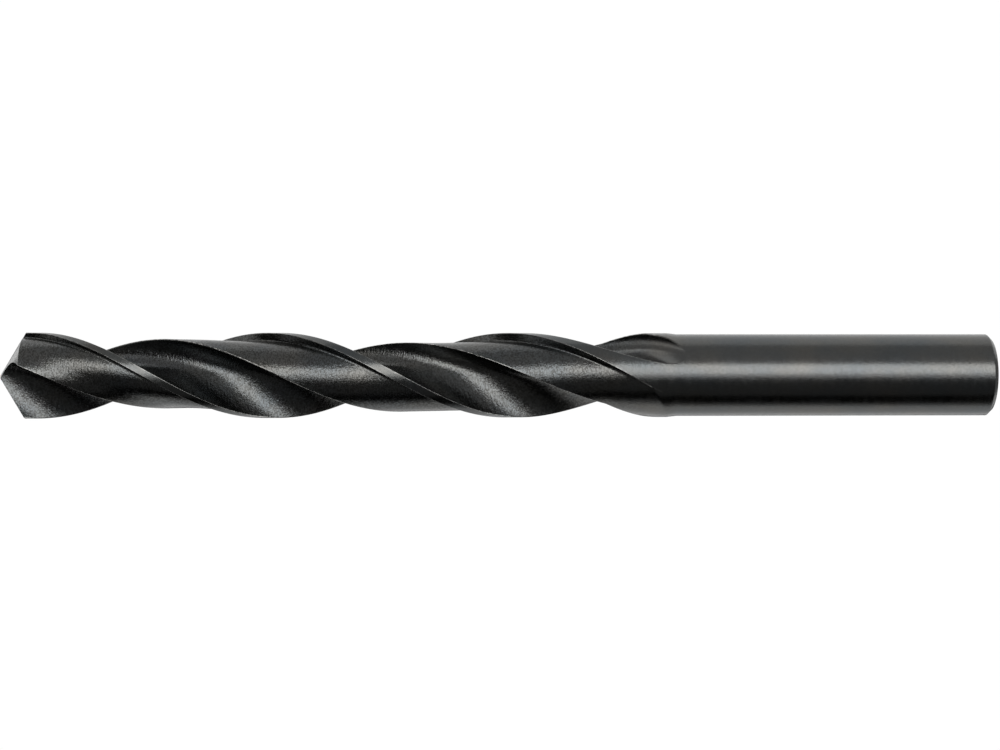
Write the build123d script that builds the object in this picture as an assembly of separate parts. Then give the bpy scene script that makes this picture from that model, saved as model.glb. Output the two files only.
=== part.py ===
from build123d import *
from math import asin, cos, degrees, log, radians, sin, sqrt, tan
import os

# A jobber-length twist drill, ground from one round bar of high-speed steel.
# It stands on the flat end of its shank, with +Z up its axis to the point.
# Lengths are in millimetres and angles in degrees.

# The turned blank
overall_length = 151.0
body_length = 101.0
drill_diameter = 13.0
back_taper = 0.0015
shank_diameter = 12.5
shank_chamfer = 0.65
body_step = 0.35

# The two helical flutes
lead_at_point = 71.0
lead_growth = 0.035
web_at_point = 1.9
web_growth = 0.014
land_angle = 87.5
heel_radius = 5.15
flute_run_out_start = 80.5
flute_wheel_radius = 60.0

# The ground-away backs of the two lands, which leave a narrow margin on each. The margin's
# wall leans back by this many degrees of azimuth for each millimetre of its depth.
margin_angle = 9.5
margin_wall_lean = 1.8
margin_wall_fillet = 0.5
deep_clearance_radius = 4.86
shallow_clearance_radius = 5.44
heel_rise = 0.15
clearance_run_out_start = 90.5
clearance_run_out_length = 9.5

# The point, ground as two tilted cones, one behind each cutting lip
point_angle = 118.0
lip_azimuth = 1.5
grinding_cone_angle = 45.0
grinding_apex_past_axis = 3.5

# How finely the helical cuts are stepped along the drill
station_turn = 20.0

drill_radius = drill_diameter / 2
shank_radius = shank_diameter / 2
body_start = overall_length - body_length
core_radius = web_at_point / 2
half_point = point_angle / 2
outside_radius = 1.25 * drill_radius
cut_above_point = 1.5


def polar(radius, azimuth):
    """A point at a radius and an azimuth, in degrees from the lip's direction."""
    return Vector(radius * cos(radians(azimuth)), radius * sin(radians(azimuth)))


def twist(z):
    """The azimuth that the lands have turned through at height z, zero at the lip's outer corner."""
    def turned(back):
        return 360 / lead_growth * log(1 + lead_growth * back / lead_at_point)
    return turned(overall_length - corner_height) - turned(overall_length - z)


def run_out(z, start, radius):
    """How far a wheel of this radius has lifted at height z, once past the start of its run-out."""
    past = max(0.0, overall_length - start - z)
    return radius - sqrt(radius**2 - past**2)


def stations(low):
    """Heights from the bottom of a cut to above the point, a fixed turn apart."""
    count = round(abs(twist(low)) / station_turn)
    top = overall_length + cut_above_point
    return [low + (top - low) * i / count for i in range(count + 1)]


# The lip is a straight line, half a web ahead of the axis. The flute's face is every
# section of it that the twist brings round to one height.
lip_reach = sqrt(drill_radius**2 - core_radius**2)
corner_azimuth = degrees(asin(core_radius / drill_radius))
corner_height = overall_length - lip_reach / tan(radians(half_point))
twist_along_lip = 360 / lead_at_point / tan(radians(half_point))


def cutting_face_point(along_lip):
    """Where the lip's point at this distance lies in the section through its outer corner."""
    return Vector(along_lip, core_radius).rotate(Axis.Z, -twist_along_lip * (lip_reach - along_lip))


flute_bottom = cutting_face_point(0)
lift_direction = flute_bottom.normalized()


def flute_section():
    """One flute: the cutting face, the bottom on the web and the arc up to the next land's heel."""
    face_steps = 6
    face_points = [cutting_face_point(lip_reach * 1.2 * i / face_steps) for i in range(face_steps + 1)]
    cutting_face = Spline(*reversed(face_points))
    heel_azimuth = corner_azimuth + 180 - land_angle
    heel = polar(heel_radius, heel_azimuth)
    heel_arc = TangentArc(flute_bottom, heel, tangent=lift_direction.rotate(Axis.Z, 90))
    mouth_end = polar(outside_radius, heel_azimuth)
    heel_wall = Line(heel, mouth_end)
    crown = polar(1.2 * outside_radius, corner_azimuth + (180 - land_angle) / 2)
    mouth = ThreePointArc(mouth_end, crown, cutting_face_point(lip_reach * 1.2))
    return make_face([cutting_face, heel_arc, heel_wall, mouth])


def flute():
    """The flute section swept up the drill, with the thickening web and the run-out."""
    exit_lift = shank_radius + 0.3
    run_out_length = sqrt(flute_wheel_radius**2 - (flute_wheel_radius - exit_lift)**2)
    low = overall_length - flute_run_out_start - run_out_length
    section = flute_section()
    cuts = []
    for z in stations(low):
        lift = web_growth / 2 * max(0.0, overall_length - z)
        lift += run_out(z, flute_run_out_start, flute_wheel_radius)
        cuts.append(Pos(0, 0, z) * Rot(0, 0, twist(z)) * Pos(lift_direction * lift) * section)
    return loft(cuts)


def clearance_section(radius):
    """The crescent between the land's back and the outside, from the margin's wall to past the heel."""
    step_azimuth = corner_azimuth - margin_angle
    end_azimuth = corner_azimuth - land_angle - 8
    middle = (step_azimuth + end_azimuth) / 2
    wall_foot = polar(radius, step_azimuth - margin_wall_lean * (drill_radius - radius))
    wall_top = polar(outside_radius, step_azimuth + margin_wall_lean * (outside_radius - drill_radius))
    back_end = polar(radius + heel_rise, end_azimuth)
    wall = Line(wall_top, wall_foot)
    back = ThreePointArc(wall_foot, polar(radius, middle), back_end)
    end_wall = Line(back_end, polar(outside_radius, end_azimuth))
    outside = ThreePointArc(polar(outside_radius, end_azimuth), polar(outside_radius, middle), wall_top)
    section = make_face([wall, back, end_wall, outside])
    corner = section.vertices().sort_by_distance(wall_foot)[0]
    return fillet(corner, margin_wall_fillet)


def land_clearance(radius):
    """The land's ground-away back, which rises to the outside at the end of its run-out."""
    low = overall_length - clearance_run_out_start - clearance_run_out_length
    rise = drill_radius + 0.1 - radius
    cuts = []
    for z in stations(low):
        past = max(0.0, overall_length - clearance_run_out_start - z)
        section = clearance_section(radius + rise * past / clearance_run_out_length)
        cuts.append(Pos(0, 0, z) * Rot(0, 0, twist(z)) * section)
    return loft(cuts)


def blank():
    """The turned bar: chamfered shank, a small step up to the body, and the body's back taper."""
    body_end_radius = drill_radius - back_taper * body_length / 2
    profile = Polyline(
        (0, 0),
        (shank_radius - shank_chamfer, 0),
        (shank_radius, shank_chamfer),
        (shank_radius, body_start - body_step),
        (body_end_radius, body_start),
        (drill_radius, overall_length),
        (0, overall_length),
        close=True,
    )
    return revolve(Plane.XZ * make_face(profile), Axis.Z)


def flank_drop_at_axis():
    """How far a flank cone lies below the lips' own cone where it crosses the axis."""
    tilt = radians(half_point - grinding_cone_angle)
    spread = cos(radians(grinding_cone_angle))**2
    apex_rise = grinding_apex_past_axis / tan(radians(half_point))
    square = cos(tilt)**2 - spread
    linear = 2 * grinding_apex_past_axis * sin(tilt) * cos(tilt)
    constant = (grinding_apex_past_axis * sin(tilt))**2 - spread * (grinding_apex_past_axis**2 + core_radius**2)
    return (sqrt(linear**2 - 4 * square * constant) - linear) / (2 * square) - apex_rise


def flank():
    """The cone that grinds one flank. Its straightest line is the lip."""
    depth = 2 * overall_length
    cone = Cone(depth * tan(radians(grinding_cone_angle)), 0, depth, align=(Align.CENTER, Align.CENTER, Align.MAX))
    apex_rise = grinding_apex_past_axis / tan(radians(half_point))
    apex = (-grinding_apex_past_axis, core_radius, lip_cone_apex + apex_rise)
    return Pos(apex) * Rot(0, grinding_cone_angle - half_point, 0) * cone


def opposite(cut):
    """The same cut on the other side of the drill."""
    return Rot(0, 0, 180) * cut


one_flute = flute()
lip_cone_apex = overall_length + flank_drop_at_axis()
drill_bit = blank() & flank() & opposite(flank())
drill_bit -= one_flute
drill_bit -= opposite(one_flute)
drill_bit -= land_clearance(deep_clearance_radius)
drill_bit -= opposite(land_clearance(shallow_clearance_radius))
drill_bit = Rot(0, 0, lip_azimuth) * drill_bit

os.makedirs("parts", exist_ok=True)
export_step(drill_bit, "parts/drill_bit.step")
print("drill_bit", len(drill_bit.solids()), "solid, volume", round(drill_bit.volume, 1))
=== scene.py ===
import bpy
import math
import numpy as np
from mathutils import Matrix
from mathutils.geometry import delaunay_2d_cdt


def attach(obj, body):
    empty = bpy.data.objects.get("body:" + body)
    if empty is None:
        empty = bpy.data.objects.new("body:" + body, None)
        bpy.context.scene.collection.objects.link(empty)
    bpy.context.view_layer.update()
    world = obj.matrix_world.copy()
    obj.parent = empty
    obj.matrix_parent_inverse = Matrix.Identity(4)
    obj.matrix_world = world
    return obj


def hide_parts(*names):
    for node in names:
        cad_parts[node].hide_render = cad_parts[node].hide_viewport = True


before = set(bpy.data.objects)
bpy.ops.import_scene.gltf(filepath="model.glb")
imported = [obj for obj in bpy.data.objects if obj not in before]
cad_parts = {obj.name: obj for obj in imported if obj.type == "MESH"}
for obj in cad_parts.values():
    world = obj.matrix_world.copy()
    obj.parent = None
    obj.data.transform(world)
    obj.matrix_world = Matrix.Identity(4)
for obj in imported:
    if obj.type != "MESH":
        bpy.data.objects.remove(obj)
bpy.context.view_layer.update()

# The turned blank. The drill starts as a round bar of high-speed steel, turned to a plain
# shank with a chamfered end and a slightly larger body, which tapers a little backwards.
# Lengths in these sections are in millimetres, and angles in degrees.
overall_length = 151.0
body_start = 50.0
drill_radius = 6.5
back_taper = 0.0015
shank_radius = 6.25
shank_chamfer = 0.65
body_step = 1.6


def blank_radius(height):
    """The turned bar's radius at a height above the shank's end."""
    body_end = drill_radius - back_taper * (overall_length - body_start) / 2
    heights = [0, shank_chamfer, body_start - body_step, body_start, overall_length, overall_length + 5]
    radii = [shank_radius - shank_chamfer, shank_radius, shank_radius, body_end, drill_radius, drill_radius]
    return np.interp(height, heights, radii)


# The two flutes. Each is ground by a profiled wheel that follows a right-hand helix and then
# lifts out at the shank. The cutting face is the shape that a straight lip needs, and the web
# between the flutes thickens towards the shank.
lead_at_point = 71.0
lead_growth = 0.035
core_radius = 0.95
web_growth = 0.014
land_angle = 87.5
heel_radius = 5.15
flute_run_out_start = 80.5
flute_wheel_radius = 60.0
half_point = math.radians(59.0)
lip_azimuth = 1.5
outside_radius = 1.25 * drill_radius
lip_reach = math.sqrt(drill_radius**2 - core_radius**2)
corner_azimuth = math.degrees(math.asin(core_radius / drill_radius))
corner_back = lip_reach / math.tan(half_point)
twist_along_lip = 360 / lead_at_point / math.tan(half_point)


def turned(back):
    """The angle that the helix has turned through at a distance back from the point."""
    return 360 / lead_growth * np.log(1 + lead_growth * back / lead_at_point)


def twist(height):
    """The azimuth of the lands' twist at a height, zero at the lip's outer corner."""
    return turned(corner_back) - turned(overall_length - height)


def rotated(points, degrees):
    """Plane points turned about the drill's axis."""
    turn = np.radians(degrees)
    x, y = points[..., 0], points[..., 1]
    return np.stack([x * np.cos(turn) - y * np.sin(turn), x * np.sin(turn) + y * np.cos(turn)], axis=-1)


def polar(radius, azimuth):
    """Plane points at a radius and an azimuth."""
    turn = np.radians(azimuth)
    return np.stack([radius * np.cos(turn), radius * np.sin(turn)], axis=-1)


def flute_outline():
    """The flute's section at the outer corner's height, from past the lip round to past the heel."""
    along_lip = lip_reach * np.linspace(1.25, 0, 240)
    face = rotated(np.stack([along_lip, np.full(240, core_radius)], axis=-1),
                   -twist_along_lip * (lip_reach - along_lip))
    bottom = face[-1]
    up = bottom / np.linalg.norm(bottom)
    side = np.array([-up[1], up[0]])
    heel = polar(heel_radius, corner_azimuth + 180 - land_angle)
    reach, rise = (heel - bottom) @ side, (heel - bottom) @ up
    arc_radius = (reach**2 + rise**2) / (2 * rise)
    end = math.atan2(reach, arc_radius - rise)
    swing = np.linspace(0, end, 160)[1:, None]
    arc = bottom + up * arc_radius * (1 - np.cos(swing)) + side * arc_radius * np.sin(swing)
    wall = polar(np.linspace(heel_radius, outside_radius, 60)[1:], corner_azimuth + 180 - land_angle)
    return np.concatenate([face, arc, wall]), up


flute_line, lift_direction = flute_outline()


def flute_at(height):
    """The flute's section at a height, lifted by the thickening web and by the run-out."""
    back = overall_length - height
    past = min(max(0.0, back - flute_run_out_start), flute_wheel_radius)
    lift = web_growth / 2 * max(0.0, back) + flute_wheel_radius - math.sqrt(flute_wheel_radius**2 - past**2)
    return flute_line + lift_direction * lift


# The backs of the lands. Behind its narrow margin, each land is ground down so that only the
# margin rubs in the hole. The two backs were ground to unequal depths, and both come up to
# the surface at the shank.
margin_angle = 9.5
margin_wall_lean = 0.5
margin_wall_fillet = 0.3
clearance_radii = (4.9, 5.44)
foot_radii = (5.65, 4.95)
heel_rise = 0.15
clearance_run_out_start = 91.5
clearance_run_out_length = 10.2
run_out_rounding = 0.3
cut_still_in = 0.02


def clearance_at(height, clearance_radius):
    """The line of a land's back at a height, from above the margin's wall to past the heel."""
    foot_rise = foot_radii[clearance_radii.index(clearance_radius)] - clearance_radius
    past = min(1.5, max(0.0, overall_length - clearance_run_out_start - height) / clearance_run_out_length)
    depth = drill_radius + 0.1 - clearance_radius
    radius = clearance_radius + depth * past
    foot_rise *= np.clip((height - body_start) / (overall_length - body_start), 0, 1)
    step_azimuth = corner_azimuth - margin_angle
    top = polar(outside_radius, step_azimuth + margin_wall_lean * (outside_radius - drill_radius))
    foot_radius = radius + foot_rise + depth * past * run_out_rounding
    foot_azimuth = step_azimuth - margin_wall_lean * (drill_radius - foot_radius)
    foot = polar(foot_radius, foot_azimuth)
    wall = top + (foot - top) * np.linspace(0, 1, 80)[:, None]
    end_azimuth = corner_azimuth - land_angle - 8
    along = np.linspace(0, 1, 160)[1:]
    rise = heel_rise * along * np.maximum(0, 2 * along - 1)
    rise += depth * past * run_out_rounding * (2 * along - 1)**2
    rise += foot_rise * (1 + np.cos(np.pi * np.minimum(1, along / 0.7))) / 2
    back = polar(radius + rise, foot_azimuth + (end_azimuth - foot_azimuth) * along)
    line = np.concatenate([wall, back])
    return softened(line, np.full(len(line), margin_wall_fillet))


def softened(line, reach):
    """A line with its corners rounded, by averaging it over a reach to either side."""
    steps = np.linalg.norm(np.diff(line, axis=0), axis=1)
    along = np.concatenate([[0], np.cumsum(steps)])
    offsets = np.linspace(-1, 1, 9)
    weights = 1 - offsets**2
    total = np.zeros_like(line)
    for offset, weight in zip(offsets, weights / weights.sum()):
        spots = np.clip(along + offset * np.minimum(reach, np.minimum(along, along[-1] - along)), 0, along[-1])
        total += weight * np.stack([np.interp(spots, along, line[:, 0]), np.interp(spots, along, line[:, 1])], axis=-1)
    return total


# The section of the finished drill at any height. It runs clockwise from each leading corner:
# margin, the land's back, what is left of the surface before the heel, and the next flute.
margin_columns = 22
back_columns = 72
flute_columns = 84
edge_softening = 0.07
heel_softening = 0.30


def spread(count):
    """Shares of a stretch, closer together at both of its ends."""
    share = np.linspace(0, 1, count, endpoint=False)
    return share - 0.92 * np.sin(2 * np.pi * share) / (2 * np.pi)


def azimuth_of(points):
    """Azimuths in degrees."""
    return np.degrees(np.arctan2(points[..., 1], points[..., 0]))


def crossing(line, excess, start, step):
    """Where a line first leaves the solid, going one way from a start inside it."""
    index = start
    while 0 <= index + step < len(line) and excess[index + step] < 0:
        index += step
    follow = min(max(index + step, 0), len(line) - 1)
    if excess[index] >= 0 or follow == index:
        return index, line[index]
    share = excess[index] / (excess[index] - excess[follow])
    return index, line[index] + (line[follow] - line[index]) * share


def clipped(line, excess):
    """The stretch of a line that lies inside the solid, or its innermost point twice."""
    start = int(np.argmin(excess))
    first, first_point = crossing(line, excess, start, -1)
    last, last_point = crossing(line, excess, start, 1)
    if excess[start] >= 0:
        return np.stack([line[start], line[start]])
    return np.concatenate([[first_point], line[first:last + 1], [last_point]])


def resampled(line, shares):
    """Points at the given shares of a line's length."""
    steps = np.linalg.norm(np.diff(line, axis=0), axis=1)
    along = np.concatenate([[0], np.cumsum(steps)])
    if along[-1] < 1e-9:
        return np.repeat(line[:1], len(shares), axis=0)
    spots = shares * along[-1]
    return np.stack([np.interp(spots, along, line[:, 0]), np.interp(spots, along, line[:, 1])], axis=-1)


def arc_between(radius, start, end, shares):
    """Points on the blank's circle, from one azimuth clockwise to another."""
    return polar(radius, start - ((start - end) % 360) * shares)


def half_section(height, clearance_radius, next_clearance_radius):
    """One land and the flute behind its heel, before the lip's azimuth and the twist."""
    radius = blank_radius(height)
    leading_flute = flute_at(height)
    back_line = clearance_at(height, clearance_radius)
    back_azimuths = azimuth_of(back_line)
    order = np.argsort(back_azimuths)

    def flute_excess(line, heel_turn, limits):
        azimuths = azimuth_of(line)
        back_limit = np.interp((azimuths - heel_turn + 180) % 360 - 180, limits[0], limits[1], left=99, right=99)
        return np.hypot(line[:, 0], line[:, 1]) - np.minimum(radius, back_limit)

    own_limits = (back_azimuths[order], np.hypot(back_line[order, 0], back_line[order, 1]))
    next_line = clearance_at(height, next_clearance_radius)
    next_azimuths = azimuth_of(next_line)
    next_order = np.argsort(next_azimuths)
    next_limits = (next_azimuths[next_order], np.hypot(next_line[next_order, 0], next_line[next_order, 1]))
    ahead = clipped(leading_flute, flute_excess(leading_flute, 180, next_limits))
    behind_line = rotated(leading_flute, 180)
    behind = clipped(behind_line, flute_excess(behind_line, 0, own_limits))[::-1]
    corner, heel = azimuth_of(ahead[0]), azimuth_of(behind[0])
    if len(behind) == 2:
        flat = polar(radius, heel)
        behind = np.stack([flat, flat])
    before_heel = ((back_azimuths - heel) % 360) < 180
    excess = np.where(before_heel, np.hypot(back_line[:, 0], back_line[:, 1]) - radius, 9.0)
    back = clipped(back_line, excess)
    if excess.min() >= 0:
        back = arc_between(radius, corner_azimuth - margin_angle, heel, np.linspace(0, 1, 160))
    elif np.hypot(*back[-1]) < radius - cut_still_in:
        back = np.concatenate([back, behind[:1]])
    else:
        rest = arc_between(radius, azimuth_of(back[-1]), heel, np.linspace(0, 1, 80)[1:])
        back = np.concatenate([back, rest])
    step = corner_azimuth - margin_angle
    if azimuth_of(back[0]) < step:
        before = arc_between(radius, step, azimuth_of(back[0]), np.linspace(0, 1, 80)[:-1])
        back = np.concatenate([before, back])
    margin = arc_between(radius, corner, azimuth_of(back[0]), spread(margin_columns))
    middle = resampled(back, spread(back_columns))
    flute = resampled(behind, spread(flute_columns))
    return np.concatenate([margin, middle, flute])


def section(height):
    """The whole section at a height, with its edges very slightly rounded."""
    deep, shallow = clearance_radii
    outline = np.concatenate([half_section(height, deep, shallow),
                              rotated(half_section(height, shallow, deep), 180)])
    count = len(outline)
    half = count // 2
    reach = np.full(count, edge_softening)
    heel_at = margin_columns + back_columns
    for corner in (heel_at, heel_at + half):
        steps = np.linalg.norm(np.roll(outline, -1, axis=0) - outline, axis=1)
        along = np.concatenate([[0], np.cumsum(steps)])[:count]
        away = np.abs(along - along[corner])
        away = np.minimum(away, steps.sum() - away)
        share = np.clip(1 - away / (2 * heel_softening), 0, 1)
        reach = np.maximum(reach, heel_softening * share)
    wrapped = np.concatenate([outline[-half:], outline, outline[:half]])
    wrapped_reach = np.concatenate([reach[-half:], reach, reach[:half]])
    return softened(wrapped, wrapped_reach)[half:half + count]


# The point. Each flank is ground as a cone that is tilted and set past the axis, so that the
# lip is its straightest line and the surface falls away behind it. The two cones meet in the
# short chisel edge across the web.
grinding_cone = math.radians(45.0)
grinding_apex_past_axis = 3.5


def one_flank(points):
    """The height of the first lip's flank over plane points, from the lips' own apex."""
    tilt = half_point - grinding_cone
    apex = (-grinding_apex_past_axis, core_radius, grinding_apex_past_axis / math.tan(half_point))
    x, y = points[..., 0] - apex[0], points[..., 1] - apex[1]
    spread_share = math.cos(grinding_cone)**2
    square = math.cos(tilt)**2 - spread_share
    linear = -2 * math.cos(tilt) * x * math.sin(tilt)
    constant = (x * math.sin(tilt))**2 - spread_share * (x**2 + y**2)
    return apex[2] + (-linear - np.sqrt(linear**2 - 4 * square * constant)) / (2 * square)


def flanks(points):
    """The ground point's height over plane points, with the chisel edge at the full length."""
    lower = np.minimum(one_flank(points), one_flank(-points))
    return overall_length + lower - one_flank(np.zeros(2))


# The rows of the mesh, from the shank's end to the flanks. Rows are closer in the run-outs,
# and above the shoulder each column rises to the flank over it.
shoulder = 140.0
shank_heights = np.array([0.0, 0.02, 0.3, 0.63, 0.68, 1.0, 4.0, 12.0, 20.0, 28.0, 36.0, 42.0, 45.0])
run_out_heights = np.arange(46.0, 62.0, 0.22)
body_heights = np.arange(62.0, shoulder, 0.65)
point_rows = 18
low_rows = np.concatenate([shank_heights, run_out_heights, body_heights])
rows = []
for height in low_rows:
    flat = rotated(section(height), twist(max(height, run_out_heights[0])) + lip_azimuth)
    rows.append(np.column_stack([flat, np.full(len(flat), height)]))
sample_heights = np.linspace(shoulder, overall_length + 1.0, 25)
samples = np.stack([section(height) for height in sample_heights])


def column_points(heights):
    """Where each column of the section lies at its own height above the shoulder."""
    place = (heights - sample_heights[0]) / (sample_heights[1] - sample_heights[0])
    below = np.clip(np.floor(place).astype(int), 0, len(sample_heights) - 2)
    share = (place - below)[:, None]
    columns = np.arange(len(heights))
    flat = samples[below, columns] * (1 - share) + samples[below + 1, columns] * share
    return rotated(flat, twist(heights))


low, high = np.full(samples.shape[1], shoulder), np.full(samples.shape[1], overall_length + 0.9)
for _ in range(40):
    middle = (low + high) / 2
    above = middle > flanks(column_points(middle))
    high = np.where(above, middle, high)
    low = np.where(above, low, middle)
column_tops = (low + high) / 2
for row in range(point_rows + 1):
    heights = shoulder + (column_tops - shoulder) * row / point_rows
    rows.append(np.column_stack([rotated(column_points(heights), lip_azimuth), heights]))
grid = np.stack(rows)

# The flanks' own mesh: a triangulation of the plan inside the last row, with the chisel edge
# as a line in it, raised to the ground cones.
rim = column_points(column_tops)
side_of_chisel = one_flank(rim) - one_flank(-rim)
chisel_ends = []
for column in range(len(rim)):
    follow = (column + 1) % len(rim)
    if (side_of_chisel[column] > 0) != (side_of_chisel[follow] > 0) and np.hypot(*rim[column]) < 2.5:
        share = side_of_chisel[column] / (side_of_chisel[column] - side_of_chisel[follow])
        end = rim[column] + (rim[follow] - rim[column]) * share
        nearest = column if share < 0.5 else follow
        rim[nearest] = end
        grid[-1, nearest, :2] = rotated(end, lip_azimuth)
        grid[-1, nearest, 2] = flanks(end)
        chisel_ends.append(nearest)
chisel_steps = 24
chisel = []
start, end = rim[chisel_ends[0]], rim[chisel_ends[1]]
for step in range(1, chisel_steps):
    spot = start + (end - start) * step / chisel_steps
    across = np.array([-(end - start)[1], (end - start)[0]]) / np.linalg.norm(end - start)
    offsets = np.linspace(-0.4, 0.4, 801)[:, None]
    tries = spot + across * offsets
    gap = np.abs(one_flank(tries) - one_flank(-tries))
    chisel.append(tries[int(np.argmin(gap))])
chisel = np.array(chisel)
patch_step = 0.28
ticks = np.arange(-drill_radius, drill_radius, patch_step)
lattice = np.stack(np.meshgrid(ticks, ticks), axis=-1).reshape(-1, 2)
closed = np.concatenate([rim, rim[:1]])
crossings = np.zeros(len(lattice), dtype=int)
for first, second in zip(closed[:-1], closed[1:]):
    spans = (first[1] > lattice[:, 1]) != (second[1] > lattice[:, 1])
    rise = second[1] - first[1] if second[1] != first[1] else 1e-12
    at = first[0] + (lattice[:, 1] - first[1]) / rise * (second[0] - first[0])
    crossings += spans & (lattice[:, 0] < at)
inside = crossings % 2 == 1
edge_points = np.concatenate([rim, chisel])
clear = np.min(np.linalg.norm(lattice[:, None] - edge_points[None], axis=-1), axis=1) > 0.45 * patch_step
lattice = lattice[inside & clear]
plan = np.concatenate([rim, chisel, lattice])
rim_count = len(rim)
chisel_line = [chisel_ends[0], *range(rim_count, rim_count + len(chisel)), chisel_ends[1]]
outline_edges = [(i, (i + 1) % rim_count) for i in range(rim_count)]
made, _, triangles, sources, _, _ = delaunay_2d_cdt(
    [tuple(point) for point in plan], outline_edges + list(zip(chisel_line[:-1], chisel_line[1:])),
    [list(range(rim_count))], 1, 1e-7)

# The mesh. The grid is closed round, the shank's end is a fan about its centre, and the
# flanks' patch takes the last row's own points for its rim.
columns = grid.shape[1]
points = [tuple(point) for point in grid.reshape(-1, 3)]
faces = []
for row in range(len(grid) - 1):
    for column in range(columns):
        follow = (column + 1) % columns
        faces.append((row * columns + follow, row * columns + column,
                      (row + 1) * columns + column, (row + 1) * columns + follow))
end_centre = len(points)
points.append((0.0, 0.0, 0.0))
faces += [(end_centre, column, (column + 1) % columns) for column in range(columns)]
last_row = (len(grid) - 1) * columns
index_of = {}
for index, (spot, source) in enumerate(zip(made, sources)):
    on_rim = [item for item in source if item < rim_count]
    if on_rim:
        index_of[index] = last_row + on_rim[0]
    else:
        flat = np.array(spot)
        index_of[index] = len(points)
        points.append((*rotated(flat, lip_azimuth), float(flanks(flat))))
faces += [tuple(index_of[corner] for corner in triangle) for triangle in triangles]
mm = 0.001
mesh = bpy.data.meshes.new("drill_body")
mesh.from_pydata([(x * mm, y * mm, z * mm) for x, y, z in points], [], faces)


def edge_wear_and_highlight(row):
    """How bright each point of a row is, worn bare and with painted highlight lines: along its leading edges, its
    margins and its heels.
    """
    steps = np.linalg.norm(np.roll(row, -1, axis=0) - row, axis=1)
    along = np.concatenate([[0], np.cumsum(steps)[:-1]])
    wear_and_highlight = np.zeros(len(row))
    half = len(row) // 2
    # The heel gets the strongest mark, which is more a painted highlight line than wear.
    for column, amount in ((0, 0.4), (margin_columns, 0.35), (margin_columns + back_columns, 0.9)):
        for corner in (column, column + half):
            away = np.abs(along - along[corner])
            away = np.minimum(away, steps.sum() - away)
            wear_and_highlight = np.maximum(wear_and_highlight, amount * np.exp(-(away / edge_mark_reach)**2))
    return wear_and_highlight * np.clip(row[:, 2] - body_start - 1, 0, 1)


# Two values at each point of the mesh for the steel: how bright an edge is, worn bare and with a painted highlight
# line, and whether the surface was ground into the blank or turned with it.
edge_mark_reach = 0.09
worn_and_highlit, ground = np.zeros(len(points)), np.ones(len(points))
worn_and_highlit[:grid.shape[0] * columns] = np.concatenate([edge_wear_and_highlight(row) for row in grid])
inward = blank_radius(grid[..., 2]) - np.hypot(grid[..., 0], grid[..., 1])
off_run_out = np.clip((grid[..., 2] - body_start) / 12, 0, 1)
ground[:grid.shape[0] * columns] = (np.clip((inward - 0.03) / 0.1, 0, 1) * off_run_out).reshape(-1)
mesh.attributes.new("worn_and_highlit_edge", "FLOAT", "POINT").data.foreach_set("value", worn_and_highlit)
mesh.attributes.new("ground_face", "FLOAT", "POINT").data.foreach_set("value", ground)
drill = bpy.data.objects.new("drill_body", mesh)
bpy.context.collection.objects.link(drill)

import bmesh
work = bmesh.new()
work.from_mesh(mesh)
bmesh.ops.remove_doubles(work, verts=work.verts, dist=2e-6)
bmesh.ops.dissolve_degenerate(work, edges=work.edges, dist=1e-7)
bmesh.ops.recalc_face_normals(work, faces=work.faces)
for edge in work.edges:
    if len(edge.link_faces) == 2 and edge.calc_face_angle(0.0) > math.radians(38):
        edge.smooth = False
for face in work.faces:
    face.smooth = True
work.to_mesh(mesh)
work.free()
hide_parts("drill_bit")
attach(drill, "root")

# The steel. Steam-blackened high-speed steel: nearly black, with a satin ground surface. The
# grinding leaves fine streaks across the drill and a grain that frays every highlight, and
# the blackening has rubbed off along the edges, whose lighter colour is also painted highlight
# lines where the edges catch light.
steel = bpy.data.materials.new("blackened_steel")
steel.use_nodes = True
nodes, links = steel.node_tree.nodes, steel.node_tree.links
shader = nodes["Principled BSDF"]
shader.inputs["Metallic"].default_value = 1.0
place = nodes.new("ShaderNodeTexCoord").outputs["Object"]


def attribute(name):
    """A value stored at the mesh's points."""
    node = nodes.new("ShaderNodeAttribute")
    node.attribute_name = name
    return node.outputs["Fac"]


def noise(across, along, detail):
    """Noise with features of these sizes in millimetres, across the drill and along it."""
    scaled = nodes.new("ShaderNodeVectorMath")
    scaled.operation = "MULTIPLY"
    scaled.inputs[1].default_value = (1000 / across, 1000 / across, 1000 / along)
    links.new(place, scaled.inputs[0])
    texture = nodes.new("ShaderNodeTexNoise")
    texture.inputs["Scale"].default_value = 1.0
    texture.inputs["Detail"].default_value = detail
    links.new(scaled.outputs[0], texture.inputs["Vector"])
    return texture.outputs["Fac"]


def ranged(value, low, high, to_low, to_high):
    """A value brought from one range to another, and held inside it."""
    node = nodes.new("ShaderNodeMapRange")
    for socket, number in zip(("From Min", "From Max", "To Min", "To Max"), (low, high, to_low, to_high)):
        node.inputs[socket].default_value = number
    links.new(value, node.inputs["Value"])
    return node.outputs["Result"]


def product(first, second):
    """Two values multiplied."""
    node = nodes.new("ShaderNodeMath")
    node.operation = "MULTIPLY"
    links.new(first, node.inputs[0])
    links.new(second, node.inputs[1])
    return node.outputs[0]


def mixed(factor, first, second):
    """Two colours mixed. The first may be a colour already mixed."""
    node = nodes.new("ShaderNodeMix")
    node.data_type = "RGBA"
    links.new(factor, node.inputs["Factor"])
    if isinstance(first, tuple):
        node.inputs[6].default_value = first
    else:
        links.new(first, node.inputs[6])
    node.inputs[7].default_value = second
    return node.outputs[2]


def bump(height, distance, below=None):
    """A bump whose full height is given in millimetres, laid over another one."""
    node = nodes.new("ShaderNodeBump")
    node.inputs["Distance"].default_value = distance * mm
    links.new(height, node.inputs["Height"])
    if below is not None:
        links.new(below, node.inputs["Normal"])
    return node.outputs["Normal"]


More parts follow.
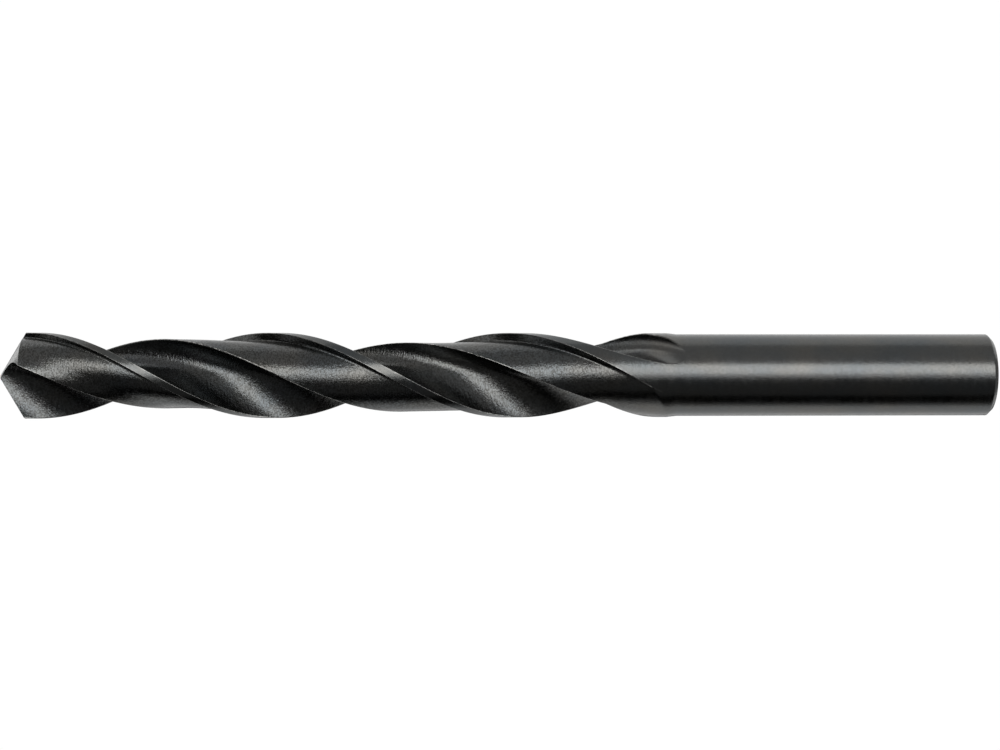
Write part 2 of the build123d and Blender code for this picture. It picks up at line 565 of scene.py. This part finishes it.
ground_face = attribute("ground_face")
cloud = noise(6.0, 9.0, 3.0)
streaks = noise(0.9, 0.28, 2.0)
grain = noise(0.22, 0.22, 1.0)
coarseness = ranged(ground_face, 0, 1, 0.4, 1.0)
oxide = mixed(ranged(cloud, 0.35, 0.7, 0, 1), (0.092, 0.100, 0.104, 1), (0.118, 0.115, 0.107, 1))
specks = ranged(noise(0.34, 0.2, 1.0), 0.42, 0.62, 0, 0.8)
patchy = mixed(product(specks, ranged(ground_face, 0, 1, 0.2, 0.85)), oxide, (0.035, 0.034, 0.031, 1))
# Lighter steel along the edges: partly bare where the blackening rubbed off, and partly painted highlight lines where
# the edges catch light.
rubbed_and_highlit = product(attribute("worn_and_highlit_edge"), ranged(noise(0.5, 0.5, 3.0), 0.38, 0.6, 0.15, 1.0))
links.new(mixed(rubbed_and_highlit, patchy, (0.62, 0.61, 0.58, 1)), shader.inputs["Base Color"])
links.new(ranged(noise(1.5, 0.6, 3.0), 0.3, 0.7, 0.19, 0.27), shader.inputs["Roughness"])
streaked = bump(product(streaks, coarseness), 0.04)
links.new(bump(product(grain, coarseness), 0.028, streaked), shader.inputs["Normal"])
drill.data.materials.append(steel)

# The studio: a pale floor and the soft strips that the steel reflects.
floor_mesh = bpy.data.meshes.new("floor")
floor_mesh.from_pydata([(-6, -6, 0), (6, -6, 0), (6, 6, 0), (-6, 6, 0)], [], [(0, 1, 2, 3)])
floor = bpy.data.objects.new("floor", floor_mesh)
bpy.context.collection.objects.link(floor)
paper = bpy.data.materials.new("white_paper")
paper.use_nodes = True
paper_shader = paper.node_tree.nodes["Principled BSDF"]
paper_shader.inputs["Base Color"].default_value = (0, 0, 0, 1)
paper_shader.inputs["Specular IOR Level"].default_value = 0
paper_shader.inputs["Emission Color"].default_value = (1, 1, 1, 1)
paper_shader.inputs["Emission Strength"].default_value = 1.01
floor_mesh.materials.append(paper)
floor.visible_glossy = False
floor.visible_shadow = False

world = bpy.data.worlds.new("studio")
bpy.context.scene.world = world
world.use_nodes = True
world.node_tree.nodes["Background"].inputs["Color"].default_value = (1, 1, 1, 1)
world.node_tree.nodes["Background"].inputs["Strength"].default_value = 1.01
world.cycles_visibility.glossy = False


def strip(name, start, end, distance, low, high, radiance):
    """A tall soft light, as seen from the drill between two azimuths from +X."""
    middle = math.radians((start + end) / 2)
    width = 2 * distance * math.tan(math.radians(end - start) / 2)
    light = bpy.data.lights.new(name, "AREA")
    light.shape = "RECTANGLE"
    light.size = width
    light.size_y = high - low
    light.energy = radiance * math.pi * width * (high - low)
    lamp = bpy.data.objects.new(name, light)
    outward = (math.cos(middle), math.sin(middle), 0)
    across = (-math.sin(middle), math.cos(middle), 0)
    lamp.matrix_world = Matrix((
        (across[0], 0, outward[0], outward[0] * distance),
        (across[1], 0, outward[1], outward[1] * distance),
        (0, 1, 0, (low + high) / 2),
        (0, 0, 0, 1)))
    lamp.visible_camera = False
    bpy.context.collection.objects.link(lamp)


strip("key_edge", -97, -87, 0.8, -1.4, 0.5, 1.3)
strip("key_strip", -87, -60, 0.8, -1.4, 0.5, 3.6)
strip("side_strip", -60, 4, 0.8, -1.4, 1.0, 0.46)
strip("back_right", 4, 85, 0.8, -1.4, 0.5, 0.95)
strip("high_back", 4, 120, 0.8, 0.5, 1.0, 1.0)
strip("high_left", -178, -112, 0.8, 0.7, 2.4, 0.5)
strip("high_side", -55, 45, 0.8, 1.0, 2.4, 0.9)
strip("front_left", -150, -97, 0.8, -1.4, 0.5, 0.09)
strip("back_left", 110, 172, 0.8, -1.4, 0.5, 0.9)
strip("far_left", 172, 182, 0.8, -1.4, 0.5, 0.3)


def panel(name, place, size, radiance, facing):
    """A square soft light above or below the drill. It faces down, or up at a half turn."""
    light = bpy.data.lights.new(name, "AREA")
    light.size = size
    light.energy = radiance * math.pi * size**2
    lamp = bpy.data.objects.new(name, light)
    lamp.location = place
    lamp.rotation_euler = (math.radians(facing), 0, 0)
    lamp.visible_camera = False
    bpy.context.collection.objects.link(lamp)


panel("top_panel", (0.2, 0.65, 0.95), 1.1, 1.1, 0)
panel("low_panel", (0.0, 0.0, -0.9), 1.0, 0.35, 180)

camera_data = bpy.data.cameras.new("camera")
camera_data.sensor_width = 36
camera_data.lens = 78.92
camera = bpy.data.objects.new("camera", camera_data)
tilt, roll = math.radians(-2.59355), math.radians(0.052)
camera.matrix_world = Matrix((
    (0, 1, 0, 0.00003),
    (math.sin(tilt), 0, -math.cos(tilt), -0.334278),
    (-math.cos(tilt), 0, -math.sin(tilt), 0.090596),
    (0, 0, 0, 1))) @ Matrix.Rotation(-roll, 4, "Z")
bpy.context.collection.objects.link(camera)
bpy.context.scene.camera = camera
bpy.context.scene.view_settings.view_transform = "Standard"
